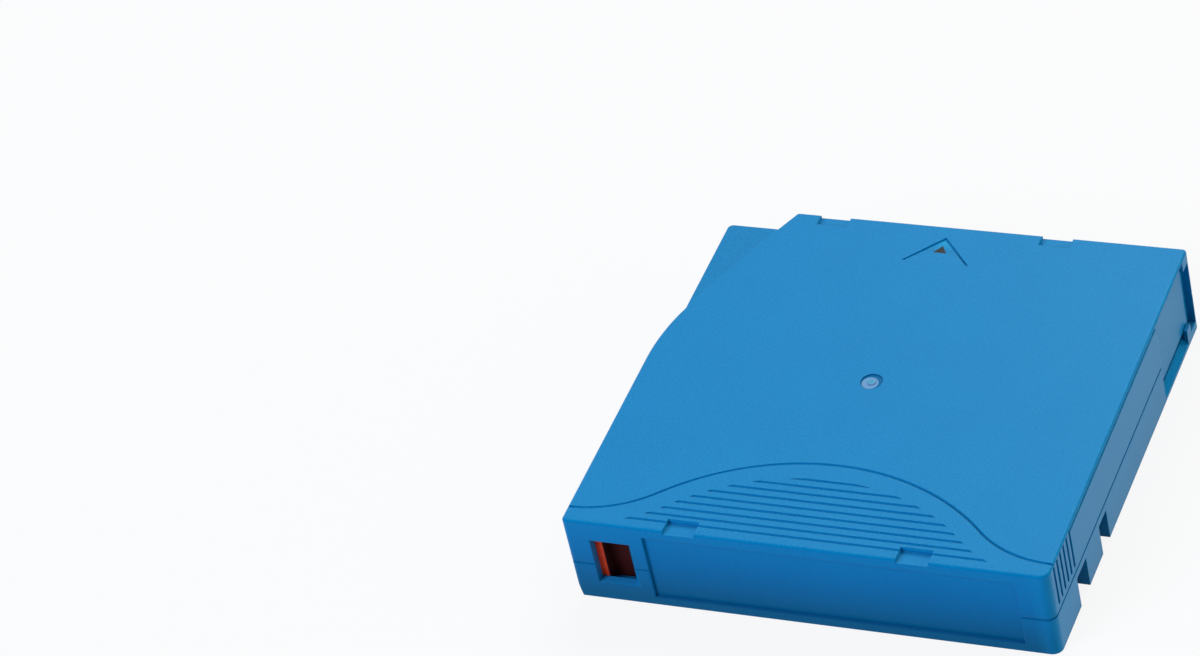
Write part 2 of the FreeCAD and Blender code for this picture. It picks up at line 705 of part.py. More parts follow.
lower_cuts = [rod("reel_access", reel_x, 0, (-1, reel_z + 1),
                  d("access_radius"))]
for n, (x, y) in bosses.items():
    lower_cuts += [
        rod(f"lower_hole_{n}", x, y, (-1, part_z + 1),
            d("screw_radius") + d("screw_gap")),
        rod(f"head_hole_{n}", x, y, (-1, d("head_sink")),
            d("screw_head") + d("head_gap"))]
for n, (y, w) in notches.items():
    for side, sx in (("right", 1), ("left", -1)):
        x = ((notch_x, half_w + 1) if sx > 0 else (-half_w - 1, -notch_x))
        lower_cuts.append(box(f"notch_{n}_{side}", x, (y, y + w),
                              (-1, d("notch_height"))))
lower_cuts += [
    # the panel of the upper shell takes the front wall's place here
    box("lower_label_gap", label_x,
        (-half_l - 1, wall - half_l), (d("label_floor"), part_z + 1)),
    window_cut("lower_window"),
    rod("lower_socket_bore", pin_x, pin_y,
        (floor_z, floor_z + d("socket_height") + 1), socket_r),
    box("lower_socket_mouth", (pin_x, pin_x + 4),
        (pin_y - mouth, pin_y + mouth),
        (floor_z, floor_z + d("socket_height") + 1)),
    box("lower_anchor_slot", (leaf_x - 0.05, leaf_x + d("leaf_thick") + 0.05),
        (anchor_y - 1, anchor_y + 2), (floor_z,
                                       floor_z + d("socket_height") + 1)),
    box("lower_door_channel", (door_in - 0.1, skin_x),
        (channel_y, lip_y), (floor_z, part_z + 1)),
    box("lower_door_window_front", (skin_x - 0.01, half_w + 1),
        (door_y[0], tab_y), (floor_z, part_z + 1)),
    box("lower_door_window_rear", (skin_x - 0.01, half_w + 1),
        (tab_y + d("tab_width"), lip_y), (floor_z, part_z + 1)),
    box("lower_tab_top", (skin_x - 0.01, half_w + 1),
        (tab_y - 0.1, tab_y + d("tab_width") + 0.1),
        (d("door_floor") + 0.4, part_z + 1)),
    box("lower_corner_step", (inner_x, half_w + 1),
        (half_l - d("corner_recess"), half_l + 1),
        (d("door_floor"), part_z + 1)),
]
# the left side leans in towards the base
lean = body("base_lean")
s = polygon(sketch(lean, "base_lean_section", "XZ_Plane"), [
    (-half_w - 1, -1), (d("base_lean") - half_w, -1),
    (d("base_lean") - half_w, 0), (-half_w, d("lean_height")),
    (-half_w - 1, d("lean_height"))])
pad(lean, s, half_l + d("case_length") / 6, "base_lean_cut", reverse=True)
place(lean, 0, -half_l - 1, 0)
lower_cuts.append(lean)
# the sill under the door slopes down to the outer edge
sill = body("door_sill")
s = polygon(sketch(sill, "door_sill_section", "XZ_Plane"), [
    (skin_x - 0.6, floor_z), (half_w + 0.5, 0.4 - d("corner_recess") / 4),
    (half_w + 0.5, floor_z + 0.5), (skin_x - 0.6, floor_z + 0.5)])
pad(sill, s, tab_y - door_y[0], "door_sill_cut", reverse=True)
place(sill, 0, door_y[0], 0)
lower_cuts.append(sill)
finish(cut("lower_shell_cut", fuse("lower_shell_body", [lower] + lower_adds),
           lower_cuts), "lower_shell")

# ---- case screws ----
for n, (x, y) in bosses.items():
    b = body(f"screw_{n}")
    r, hr = d("screw_radius"), d("screw_head")
    z1 = d("screw_length")
    hh = d("head_height")
    s = polygon(sketch(b, f"screw_{n}_section", "XZ_Plane"), [
        (0, 0), (hr, 0), (hr, hh), (r, hh), (r, z1 + hh), (0, z1 + hh)])
    revolve(b, s, f"screw_{n}_turn")
    cross = sketch(b, f"screw_{n}_recess")
    a, c = size(0.3), hr * 0.6
    polygon(cross, [(-c, -a), (-a, -a), (-a, -c), (a, -c), (a, -a), (c, -a),
                    (c, a), (a, a), (a, c), (-a, c), (-a, a), (-c, a)])
    pocket(b, cross, hh / 2, f"screw_{n}_drive", reverse=True)
    place(b, x, y, d("head_sink") - hh)
    finish(b, f"case_screw_{n}")

# ---- write-protect slider ----
slider = body("slider")
sl, sd = d("slider_length"), d("slider_depth")
sw = d("slider_wall")
s = polygon(sketch(slider, "slider_plan"), [(0, 0), (sl, 0), (sl, sd),
                                            (0, sd)])
slider_h = ceiling - floor_z - d("slider_gap") - d("slider_headroom")
pad(slider, s, slider_h, "slider_block")
s = polygon(sketch(slider, "slider_hollow", offset=sw), [
    (sw, sw), (sl - sw, sw), (sl - sw, sd + 1), (sw, sd + 1)])
pocket(slider, s, slider_h - 2 * sw, "slider_back", reverse=True)
s = polygon(sketch(slider, "slider_plate_plan"), [
    (sl - sw, sd - sw), (sl + d("slider_plate"), sd - sw),
    (sl + d("slider_plate"), sd), (sl - sw, sd)])
pad(slider, s, slider_h, "slider_plate")
place(slider, slider_x, slider_y, floor_z + d("slider_gap"))
finish(slider, "write_protect_slider")

# ---- tape door ----
door = body("door_body")
door_top = ceiling - 0.3
web_floor = floor_z + 0.3
s = polygon(sketch(door, "door_section", "XZ_Plane"), [
    (door_in, web_floor), (web_x, web_floor), (web_x, d("door_floor")),
    (door_x, d("door_floor")), (door_x, door_top), (door_in, door_top)])
door_len = lip_y - d("door_gap") - tail_y
pad(door, s, door_len, "door_plate", reverse=True)
s = polygon(sketch(door, "door_lip_plan", offset=floor_z), [
    (door_x + 1, door_len - d("door_lip") - 0.9),
    (door_x, door_len - d("door_lip") - 0.9), (web_x, door_len - d("door_lip")),
    (web_x, door_len + 1), (door_x + 1, door_len + 1)])
pocket(door, s, ceiling - floor_z, "door_lip_cut", reverse=True)
lug_z = d("door_spring_height") - d("lug_height") / 2
s = polygon(sketch(door, "door_lug_plan", offset=lug_z), [
    (door_x - d("lug_reach"), 0), (door_x, 0), (door_x, d("lug_depth")),
    (door_x - d("lug_reach"), d("lug_depth"))])
pad(door, s, d("lug_height"), "door_lug")
place(door, 0, tail_y, 0)
finish(door, "door")


# ---- coil springs ----
def coil(name, radius, wire, length, turns, steps):
    """A coil along +Z of hexagonal wire, lofted in straight steps; its
    ends are the wire radius inside."""
    r, pitch = radius.v, (length - wire).v / turns.v
    slope = math.atan2(pitch, 2 * math.pi * r)
    rings = []
    for i in range(int(turns.v * steps.v) + 1):
        a = 2 * math.pi * i / steps.v
        out = FreeCAD.Vector(math.cos(a), math.sin(a), 0)
        up = FreeCAD.Vector(math.sin(slope) * math.sin(a),
                            -math.sin(slope) * math.cos(a), math.cos(slope))
        centre = out * r + FreeCAD.Vector(0, 0, pitch * i / steps.v)
        rings.append([centre + out * (math.cos(k * math.pi / 3) * wire.v / 2)
                      + up * (math.sin(k * math.pi / 3) * wire.v / 2)
                      for k in range(6)])
    faces = [Part.Face(Part.makePolygon(q + q[:1]))
             for q in (rings[0], rings[-1])]
    for p, q in zip(rings, rings[1:]):
        for k in range(6):
            m = (k + 1) % 6
            for t in ((p[k], p[m], q[m]), (p[k], q[m], q[k])):
                faces.append(Part.Face(Part.makePolygon(list(t) + [t[0]])))
    shape = Part.makeSolid(Part.makeShell(faces))
    if shape.Volume < 0:
        shape.reverse()
    w = doc.addObject("Part::Feature", name)
    w.Shape = shape
    return w


spring_len = tail_y - channel_y
door_spring = coil("door_coil", d("door_spring_radius"),
                   d("door_spring_wire"), spring_len - 0.1,
                   d("door_spring_turns"), d("spring_steps"))
door_spring.Placement = FreeCAD.Placement(
    FreeCAD.Vector(), FreeCAD.Rotation(FreeCAD.Vector(1, 0, 0), -90))
place(door_spring, door_x - d("door_spring_radius") - 0.25,
      channel_y + d("door_spring_wire") / 2 + 0.05,
      d("door_spring_height"))
finish(door_spring, "door_spring")

# ---- reel ----
hub_in = d("hub_radius") - d("hub_wall")
hub = body("hub_body")
hub_h = upper_flange_z - reel_z
s = polygon(sketch(hub, "hub_section", "XZ_Plane"), [
    (0, -d("plate_thick")), (d("plate_inner") - d("plate_gap"),
                             -d("plate_thick")),
    (d("plate_inner") - d("plate_gap"), 0), (flange_r, 0),
    (flange_r, d("flange_thick")),
    (d("hub_radius"), d("flange_thick")), (d("hub_radius"), hub_h),
    (hub_in, hub_h), (hub_in, hub_floor),
    (d("brake_outer"), hub_floor), (d("brake_outer"),
                                    hub_floor + d("brake_ring")),
    (d("brake_inner"), hub_floor + d("brake_ring")),
    (d("brake_inner"), hub_floor), (0, hub_floor)])
revolve(hub, s, "hub_turn")


def tooth(b, name, inner, outer, z0, tip, base_w, tip_w, step=0):
    """One radial tooth: a trapezium on the YZ plane, padded outwards."""
    s = sketch(b, name + "_section", "YZ_Plane", offset=inner)
    over = 0.2 if tip.v < z0.v else -0.2
    polygon(s, [(-base_w / 2, z0 + over), (base_w / 2, z0 + over),
                (base_w / 2, z0), (tip_w / 2, tip), (-tip_w / 2, tip),
                (-base_w / 2, z0)])
    return pad(b, s, outer - inner, name)


def half_pitch(b):
    """Turn a piece so that the lock teeth face the gaps of the brake's."""
    bind(b, "Placement.Rotation.Angle", 180 / d("brake_teeth"))


t = tooth(hub, "drive_tooth", d("ring_inner"), d("ring_outer"), size(0),
          -d("ring_tooth"), d("ring_base"), d("ring_tip"))
ring(hub, t, d("ring_teeth"), "drive_ring")
t = tooth(hub, "lock_tooth", d("brake_inner") + d("tooth_inset"),
          d("brake_outer") - d("tooth_inset"),
          hub_floor + d("brake_ring"),
          hub_floor + d("brake_ring") + d("brake_tooth"),
          d("brake_base"), d("brake_tip"))
ring(hub, t, d("brake_teeth"), "lock_ring")
doc.recompute()
# passages for the release plate: arms through the lock ring, legs through
# the floor and the drive teeth
s = polygon(sketch(hub, "arm_passage", offset=hub_floor), [
    (d("brake_inner") - 0.5, -d("arm_width") / 2 - d("arm_gap")),
    (d("brake_outer") + 0.5, -d("arm_width") / 2 - d("arm_gap")),
    (d("brake_outer") + 0.5, d("arm_width") / 2 + d("arm_gap")),
    (d("brake_inner") - 0.5, d("arm_width") / 2 + d("arm_gap"))])
p = pocket(hub, s, d("brake_ring") + d("brake_tooth") + 1, "arm_cut",
           reverse=True)
ring(hub, p, 3, "arm_cuts")
s = sketch(hub, "leg_passage", offset=-d("ring_tooth") - 1)
g = s.addGeometry(Part.Circle(FreeCAD.Vector(d("leg_circle").v, 0, 0),
                              FreeCAD.Vector(0, 0, 1),
                              (d("leg_radius") + d("leg_gap")).v))
pin_point(s, g, 3, d("leg_circle"), 0)
i = s.addConstraint(Part_constraint(
    "Radius", g, (d("leg_radius") + d("leg_gap")).v))
bind(s, f"Constraints[{i}]", d("leg_radius") + d("leg_gap"))
p = pocket(hub, s, d("ring_tooth") + hub_floor + 2, "leg_cut", reverse=True)
ring(hub, p, 3, "leg_cuts")
place(hub, reel_x, 0, reel_z)
half_pitch(hub)
finish(hub, "reel_hub")

flange = body("flange_body")
s = polygon(sketch(flange, "flange_section", "XZ_Plane"), [
    (hub_in, 0), (flange_r, 0),
    (flange_r, d("flange_thick")), (hub_in, d("flange_thick"))])
revolve(flange, s, "flange_turn")
place(flange, reel_x, 0, upper_flange_z)
finish(flange, "reel_upper_flange")

pack_body = body("tape_body")
s = polygon(sketch(pack_body, "tape_section", "XZ_Plane"), [
    (d("hub_radius"), 0), (tape_r, 0),
    (tape_r, tape_w), (d("hub_radius"), tape_w)])
revolve(pack_body, s, "tape_turn")
place(pack_body, reel_x, 0, tape_z)
finish(pack_body, "tape_pack")

plate = body("plate_body")
s = polygon(sketch(plate, "plate_section", "XZ_Plane"), [
    (d("plate_inner"), 0), (d("plate_outer"), 0),
    (d("plate_outer"), d("plate_thick")), (d("plate_inner"), d("plate_thick"))])
revolve(plate, s, "plate_turn")
s = sketch(plate, "plate_hole_plan", offset=size(-1))
mid_r = (d("plate_inner") + d("plate_outer")) / 2
g = s.addGeometry(Part.Circle(FreeCAD.Vector(mid_r.v, 0, 0),
                              FreeCAD.Vector(0, 0, 1), d("plate_hole").v))
pin_point(s, g, 3, mid_r, 0)
i = s.addConstraint(Part_constraint("Radius", g, d("plate_hole").v))
bind(s, f"Constraints[{i}]", d("plate_hole"))
p = pocket(plate, s, d("plate_thick") + 2, "plate_hole_cut", reverse=True)
ring(plate, p, 3, "plate_holes")
place(plate, reel_x, 0, reel_z - d("plate_thick"))
half_pitch(plate)
finish(plate, "drive_plate")

# ---- release plate: three arms on a disc, each with a leg ----
release = body("release_body")
aw, at = d("arm_width"), d("arm_thick")
s = sketch(release, "release_disc_plan")
g = s.addGeometry(Part.Circle(FreeCAD.Vector(), FreeCAD.Vector(0, 0, 1),
                              d("plate_centre").v))
pin_point(s, g, 3, 0, 0)
i = s.addConstraint(Part_constraint("Radius", g, d("plate_centre").v))
bind(s, f"Constraints[{i}]", d("plate_centre"))
pad(release, s, at, "release_disc")
s = polygon(sketch(release, "release_arm_plan"), [
    (d("plate_centre") / 2, -aw / 2), (d("leg_circle"), -aw / 2),
    (d("leg_circle"), aw / 2), (d("plate_centre") / 2, aw / 2)])
p = pad(release, s, at, "release_arm")
ring(release, p, 3, "release_arms")
leg_floor = -(hub_floor + d("ring_tooth")) + 0.1
s = sketch(release, "release_leg_plan", offset=leg_floor)
g = s.addGeometry(Part.Circle(FreeCAD.Vector(d("leg_circle").v, 0, 0),
                              FreeCAD.Vector(0, 0, 1), d("leg_radius").v))
pin_point(s, g, 3, d("leg_circle"), 0)
i = s.addConstraint(Part_constraint("Radius", g, d("leg_radius").v))
bind(s, f"Constraints[{i}]", d("leg_radius"))
p = pad(release, s, at - leg_floor, "release_leg")
ring(release, p, 3, "release_legs")
place(release, reel_x, 0, reel_z + hub_floor)
half_pitch(release)
finish(release, "release_plate")

# ---- brake button: toothed disc on a keyed stem ----
brake = body("brake_body")
# local zero is the root of the brake teeth, the underside of the disc
tooth_h = d("brake_tooth")
nub_floor = hub_floor + at - disc_z
s = polygon(sketch(brake, "brake_section", "XZ_Plane"), [
    (0, nub_floor), (2, nub_floor), (3.5, 0), (d("brake_outer") + 0.7, 0),
    (d("brake_outer") + 0.7, d("brake_disc")),
    (d("brake_stem"), d("brake_disc")),
    (d("brake_stem"), d("brake_disc") + d("stem_height")),
    (0, d("brake_disc") + d("stem_height"))])
revolve(brake, s, "brake_turn")
t = tooth(brake, "brake_tooth", d("brake_inner") + d("tooth_inset"),
          d("brake_outer") - d("tooth_inset"), size(0), -tooth_h,
          d("brake_base"), d("brake_tip"))
ring(brake, t, d("brake_teeth"), "brake_ring")
key = post_half + d("key_gap")
s = polygon(sketch(brake, "brake_key", offset=d("brake_disc") / 2), [
    (-key, -key), (key, -key), (key, key), (-key, key)])
pocket(brake, s, d("stem_height") + d("brake_disc"), "brake_key_bore",
       reverse=True)
place(brake, reel_x, 0, reel_z + disc_z)
finish(brake, "brake_button")

brake_top = reel_z + disc_z + d("brake_disc")
brake_spring = coil("brake_coil", d("brake_spring_radius"),
                    d("brake_spring_wire"), ceiling - brake_top - 0.1,
                    d("brake_spring_turns"), d("spring_steps") * 2)
place(brake_spring, reel_x, 0, brake_top + d("brake_spring_wire") / 2 + 0.05)
finish(brake_spring, "brake_spring")

# ---- leader pin, its clip and its retaining springs ----
pin = body("pin_body")
pr, er, eh = d("pin_radius"), d("pin_end_radius"), d("pin_end")
pin_len = ceiling - floor_z - d("pin_gap")
s = polygon(sketch(pin, "pin_section", "XZ_Plane"), [
    (0, 0), (er, 0), (er, eh), (pr, eh + 0.6), (pr, pin_len - eh - 0.6),
    (er, pin_len - eh), (er, pin_len), (0, pin_len)])
revolve(pin, s, "pin_turn")
place(pin, pin_x, pin_y, floor_z)
finish(pin, "leader_pin")

clip_in = pr + d("clip_gap")
clip = body("clip_body")
s = polygon(sketch(clip, "clip_section", "XZ_Plane"), [
    (clip_in, 0), (clip_in + d("clip_wall"), 0),
    (clip_in + d("clip_wall"), tape_w), (clip_in, tape_w)])
r = revolve(clip, s, "clip_turn")
bind(r, "Angle", 360 - d("clip_opening"))
clip.Placement = FreeCAD.Placement(FreeCAD.Vector(), FreeCAD.Rotation(
    FreeCAD.Vector(0, 0, 1), d("clip_opening").v / 2 - 90))
place(clip, pin_x, pin_y, tape_z)
finish(clip, "pin_clip")


def leaf(label, z0):
    """A flat steel spring that bears on one end of the pin."""
    b = body(label + "_body")
    x0, x1 = leaf_x, leaf_x + d("leaf_thick")
    y0, y1 = anchor_y - 0.8, pin_y + 0.9
    s = polygon(sketch(b, label + "_plan", offset=z0), [
        (x0, y0), (x1, y0), (x1, y1), (x1 + 0.5, y1 + 1.2),
        (x0 + 0.5, y1 + 1.2), (x0, y1)])
    pad(b, s, d("leaf_height"), label + "_strip")
    finish(b, label)


leaf("pin_spring_lower", floor_z + 0.1)
leaf("pin_spring_upper", ceiling - 0.1 - d("leaf_height"))

# ---- tape leader: the straight run from the wound tape to the pin ----
lt = d("leader_thick").v
wound = tape_r.v + 0.05 + lt / 2
gap_end = clip_in.v + 0.05
px, py = pin_x.v - reel_x.v, pin_y.v - gap_end
far = math.hypot(px, py)
run = math.sqrt(far ** 2 - wound ** 2)
a = math.atan2(py, px) - math.acos(wound / far)
tx, ty = wound * math.cos(a), wound * math.sin(a)
leader_box = Part.makeBox(run, lt, tape_w.v,
                          FreeCAD.Vector(0, -lt / 2, 0))
leader = doc.addObject("Part::Feature", "leader_tape")
leader.Shape = leader_box
leader.Placement = FreeCAD.Placement(
    FreeCAD.Vector(tx + reel_x.v, ty, tape_z.v),
    FreeCAD.Rotation(FreeCAD.Vector(0, 0, 1),
                     math.degrees(math.atan2(py - ty, px - tx))))
finish(leader, "tape_leader")

# ---- memory chip: a small board with its moulded cover ----
board = box("chip_board", (chip_x, chip_x + d("chip_thick")),
            (chip_y, chip_y + d("chip_width")),
            (floor_z, floor_z + d("chip_height")))
blob = box("chip_blob", (chip_x + d("chip_thick") - 0.1, chip_end),
           (chip_y + 3, chip_y + d("chip_width") - 3),
           (floor_z + 3.5, floor_z + d("chip_height") - 3.5))
finish(fuse("chip_fused", [board, blob]), "memory_chip")

doc.recompute()
bad = [o.Name for o in doc.Objects
       if "Invalid" in o.State or "Error" in o.State]
if bad:
    raise RuntimeError(f"failed objects: {bad}")
os.makedirs("parts", exist_ok=True)
for obj in parts:
    shape = obj.Shape
    if shape.isNull() or not shape.isValid():
        raise RuntimeError(f"{obj.Label} has no valid shape")
    shape.exportStep(f"parts/{obj.Label}.step")
    box_ = shape.BoundBox
    print(f"{obj.Label:24s} solids {len(shape.Solids)} "
          f"volume {shape.Volume:10.2f} "
          f"x {box_.XMin:7.2f} {box_.XMax:7.2f} y {box_.YMin:7.2f} "
          f"{box_.YMax:7.2f} z {box_.ZMin:6.2f} {box_.ZMax:6.2f}")
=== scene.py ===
import math
from functools import cached_property

import bpy
from mathutils import Matrix, Vector


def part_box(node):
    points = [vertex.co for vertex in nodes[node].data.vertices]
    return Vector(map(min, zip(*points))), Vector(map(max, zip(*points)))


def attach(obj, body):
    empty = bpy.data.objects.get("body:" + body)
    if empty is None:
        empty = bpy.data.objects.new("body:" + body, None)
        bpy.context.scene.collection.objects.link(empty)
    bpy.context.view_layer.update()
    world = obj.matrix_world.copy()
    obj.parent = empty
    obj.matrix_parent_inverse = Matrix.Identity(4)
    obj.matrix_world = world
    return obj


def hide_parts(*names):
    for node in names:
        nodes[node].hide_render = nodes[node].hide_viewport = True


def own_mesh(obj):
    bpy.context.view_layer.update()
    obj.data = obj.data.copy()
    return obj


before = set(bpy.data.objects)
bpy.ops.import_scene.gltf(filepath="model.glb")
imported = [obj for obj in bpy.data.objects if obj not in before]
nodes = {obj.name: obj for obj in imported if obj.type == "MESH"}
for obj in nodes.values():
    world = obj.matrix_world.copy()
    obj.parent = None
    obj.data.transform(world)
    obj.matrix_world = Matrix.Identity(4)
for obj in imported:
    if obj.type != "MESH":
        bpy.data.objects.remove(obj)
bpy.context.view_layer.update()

MM = 0.001


# ---- camera ----
# Fitted to the part's outline in the photograph; the place is in mm.
SENSOR, LENS = 36.0, 148.311
CAMERA_PLACE = (343.574, -709.020, 692.810)
CAMERA_RIGHT = (0.91784327, 0.35075662, -0.18583197)
CAMERA_DOWN = (0.09613940, -0.65065444, -0.75326357)
CAMERA_FORWARD = (-0.38512458, 0.67351213, -0.63092033)


def camera():
    """The photograph's view, from above the label end and to its right."""
    cam = bpy.data.cameras.new("camera")
    cam.sensor_width, cam.lens = SENSOR, LENS
    cam.clip_start, cam.clip_end = 0.05, 20
    turn = Matrix((Vector(CAMERA_RIGHT), -Vector(CAMERA_DOWN),
                   -Vector(CAMERA_FORWARD)))
    place = turn.transposed().to_4x4()
    place.translation = Vector(CAMERA_PLACE) * MM
    ob = bpy.data.objects.new("camera", cam)
    ob.matrix_world = place
    bpy.context.scene.collection.objects.link(ob)
    bpy.context.scene.camera = ob


# ---- node helpers ----
class Tree:
    """Short ways to add nodes. A value that goes into a node is a number, a
    colour or a vector, or a link, which is written (node, output)."""

    def __init__(self, tree):
        self.t = tree
        self.t.nodes.clear()

    def put(self, value, socket):
        if isinstance(value, tuple) and hasattr(value[0], "outputs"):
            self.t.links.new(value[0].outputs[value[1]], socket)
        else:
            socket.default_value = value

    def add(self, kind, inputs=(), **props):
        n = self.t.nodes.new("ShaderNode" + kind)
        for k, v in props.items():
            setattr(n, k, v)
        for k, v in dict(inputs).items():
            self.put(v, n.inputs[k])
        return n

    def calc(self, operation, a, b=0.0):
        return self.add("Math", {0: a, 1: b}, operation=operation), "Value"

    def times(self, product, *factors):
        for factor in factors:
            product = self.calc("MULTIPLY", product, factor)
        return product

    def vector(self, operation, a, b=(0, 0, 0), out="Vector"):
        return self.add("VectorMath", {0: a, 1: b}, operation=operation), out

    def ramp(self, value, lo, hi, to_lo=0.0, to_hi=1.0):
        """lo..hi of the value as to_lo..to_hi, and held beyond both ends."""
        return self.add("MapRange", {"Value": value, "From Min": lo,
                                     "From Max": hi, "To Min": to_lo,
                                     "To Max": to_hi}), "Result"

    def band(self, value, rise, fall, most=1.0):
        """From 0 to most over rise and back to 0 over fall, two ranges."""
        return self.times(self.ramp(value, *rise),
                          self.ramp(value, fall[1], fall[0], 0.0, most))

    def mix(self, a, b, factor):
        """Colour a to colour b by factor."""
        return self.add("Mix", {0: factor, 6: a, 7: b}, data_type="RGBA"), 2


class Mat(Tree):
    """A material with one Principled shader."""

    def __init__(self, name, **sockets):
        self.m = bpy.data.materials.new(name)
        self.m.use_nodes = True
        super().__init__(self.m.node_tree)
        self.b = self.add("BsdfPrincipled")
        self.out = self.add("OutputMaterial", {"Surface": (self.b, "BSDF")})
        for k, v in sockets.items():
            self.set(k.replace("_", " "), v)

    def set(self, socket, value):
        self.put(value, self.b.inputs[socket])

    @cached_property
    def where(self):
        """Object coordinates in millimetres. Every piece sits at the origin,
        so at rest they are places on the part."""
        return self.vector("MULTIPLY", (self.add("TexCoord"), "Object"),
                           (1000, 1000, 1000))

    @cached_property
    def axes(self):
        return self.add("SeparateXYZ", {0: self.where})

    @cached_property
    def normal(self):
        return self.add("SeparateXYZ", {0: (self.add("NewGeometry"),
                                            "Normal")})

    def at(self, axis):
        """One coordinate of the place on the part."""
        return self.axes, axis

    def off(self, axis, middle=None):
        """How far the place is from the middle along one axis."""
        value = self.at(axis)
        if middle is not None:
            value = self.calc("SUBTRACT", value, middle)
        return self.calc("ABSOLUTE", value)

    def facing(self, axis):
        """How far the surface faces along one axis, from -1 to 1."""
        return self.normal, axis

    def noise(self, scale, detail=2.0, rough=0.5, stretch=None):
        place = self.where
        if stretch:
            place = self.vector("MULTIPLY", place, stretch)
        return self.add("TexNoise", {"Vector": place, "Scale": scale,
                                     "Detail": detail,
                                     "Roughness": rough}), "Fac"

    def even(self, noise, lo=0.0, hi=1.0):
        """The middle of a noise, which hardly leaves 0.3..0.7, as lo..hi."""
        return self.ramp(noise, 0.3, 0.7, lo, hi)

    def bump(self, height, distance, strength, rounded=0.0):
        """Bump of a height field; rounded softens the solid's sharp edges."""
        n = self.add("Bump", {"Height": height, "Distance": distance,
                              "Strength": strength})
        if rounded:
            bevel = self.add("Bevel", {"Radius": rounded}, samples=6)
            self.put((bevel, "Normal"), n.inputs["Normal"])
        self.set("Normal", (n, "Normal"))


def lin(r, g, b):
    """A colour written in sRGB, 0 to 255, as the shader's linear one."""
    def f(c):
        c /= 255
        return c / 12.92 if c <= 0.04045 else ((c + 0.055) / 1.055) ** 2.4
    return (f(r), f(g), f(b), 1.0)


# ---- case material ----
# Places on the part, in millimetres. A pair of ranges is a band: what lies
# there fades in over the first and out over the second.
SOFT = 0.08                                        # fade of a round or print
PARTING_Z = 9.5                                    # where the shells meet
TOP_Z = 20.9, 21.0                                 # above it lies the top
LINE_FLOORS = (20.8, 20.9), (21.3, 21.36)          # Z of the engraved lines
CORNER_SHELF = (21.36, 21.37), (21.39, 21.4)       # Z of the low corner
RIM_GROOVE_Z = 20.5                                # its middle
RIM_GROOVE_DEPTH = (51.0, 51.1), (52.6, 52.66)     # X, on both sides
RIM_GROOVE_LENGTH = (-36.4, -36.2), (50.4, 50.6)   # Y
GATE_X, GATE_Y = -1.4, 0.0
# painted light for the floors of the engraved lines and of the rim groove
PAINTED_LIGHT_BLUE = lin(30, 168, 214)


def painted_top_sheen(m):
    """Painted reflection: faces that look up are tinted paler and warmer, as
    the lamps' reflection would leave them.
    """
    return (0.14, 0.26, 0.5, 1.0), m.ramp(m.facing("Z"), 0.8, 0.95, 0.0, 0.09)


def painted_label_end_shade(m):
    """Painted shade: the label end is darkened towards its lower edge, less so
    at its right.
    """
    height = m.ramp(m.at("Z"), 20.0, 2.0, 0.14, 0.57)
    right = m.ramp(m.at("X"), 48.0, 51.0, 1.0, 0.6)
    colour = m.mix((0.0, 0.02, 0.05, 1.0), (0.0, 0.02, 0.3, 1.0),
                   m.ramp(m.at("Z"), 2.0, 20.0))
    return colour, m.times(m.ramp(m.facing("Y"), -0.4, -0.9),
                           m.times(height, right))


def parting_line_shade(m):
    """Painted shade: the chamfers where the two shells meet are darkened into
    a dark line.
    """
    tilt = m.calc("ABSOLUTE", m.facing("Z"))
    return (0.003, 0.006, 0.1, 1.0), m.times(
        m.ramp(m.off("Z", PARTING_Z), 0.4, 0.3),
        m.ramp(tilt, 0.3, 0.5, 0.0, 0.45))


def engraved_lines_lit(m):
    """Painted light: the floors of the engraved lines on the top are lightened
    against the shade their depth gives them. The label end and the sides pass
    through the same heights and keep their colour."""
    inside = m.times(m.ramp(m.at("Y"), -49.8, -49.6),
                     m.ramp(m.off("X"), 51.4, 51.2))
    return PAINTED_LIGHT_BLUE, m.times(m.band(m.at("Z"), *LINE_FLOORS), inside, 0.5)


def rim_groove_lit(m):
    """Painted light: the groove under the rim of both sides is lightened
    against its shade too.
    """
    return PAINTED_LIGHT_BLUE, m.times(
        m.band(m.off("X"), *RIM_GROOVE_DEPTH),
        m.ramp(m.off("Z", RIM_GROOVE_Z), 0.46, 0.42, 0.0, 0.6),
        m.band(m.at("Y"), *RIM_GROOVE_LENGTH))


def disc(m, x, y, radius):
    """1 inside an upright cylinder, 0 outside."""
    at = m.vector("ADD", m.where, (-x, -y, 0))
    flat = m.vector("MULTIPLY", at, (1, 1, 0))
    far = m.vector("LENGTH", flat, out="Value")
    return m.ramp(far, radius + SOFT, radius - SOFT)


def gate_ring_shade(m):
    """Painted shade: the floor of the sunk mark that moulding leaves is
    darkened.
    """
    return (0.0, 0.05, 0.2, 1.0), m.times(
        m.ramp(m.at("Z"), 21.46, 21.42), disc(m, GATE_X, GATE_Y, 2.5), 0.7)


def scar(m):
    """1 on the round scar inside that mark, a little off its centre."""
    return m.times(m.ramp(m.at("Z"), *TOP_Z),
                   disc(m, GATE_X - 0.3, GATE_Y - 0.3, 1.8))


def gate_scar(m):
    """The scar is pale."""
    return lin(134, 176, 212), m.times(scar(m), 0.7)


def gate_dot(m):
    """It has a darker dot in its middle."""
    return lin(84, 158, 190), m.times(scar(m),
                                      disc(m, GATE_X - 0.1, GATE_Y, 0.75))


def label_ledge(m):
    """The ledge under the label panel lies in its own shade."""
    return (0.0, 0.01, 0.08, 1.0), m.times(
        m.ramp(m.facing("Z"), 0.3, 0.5),
        m.ramp(m.at("Z"), 4.0, 3.9, 0.0, 0.5),
        m.ramp(m.at("Y"), -50.1, -50.2))


def corner_shelf(m):
    """The low corner beside the insertion end is a touch deeper."""
    return (0.0, 0.02, 0.05, 1.0), m.band(m.at("Z"), *CORNER_SHELF, 0.07)


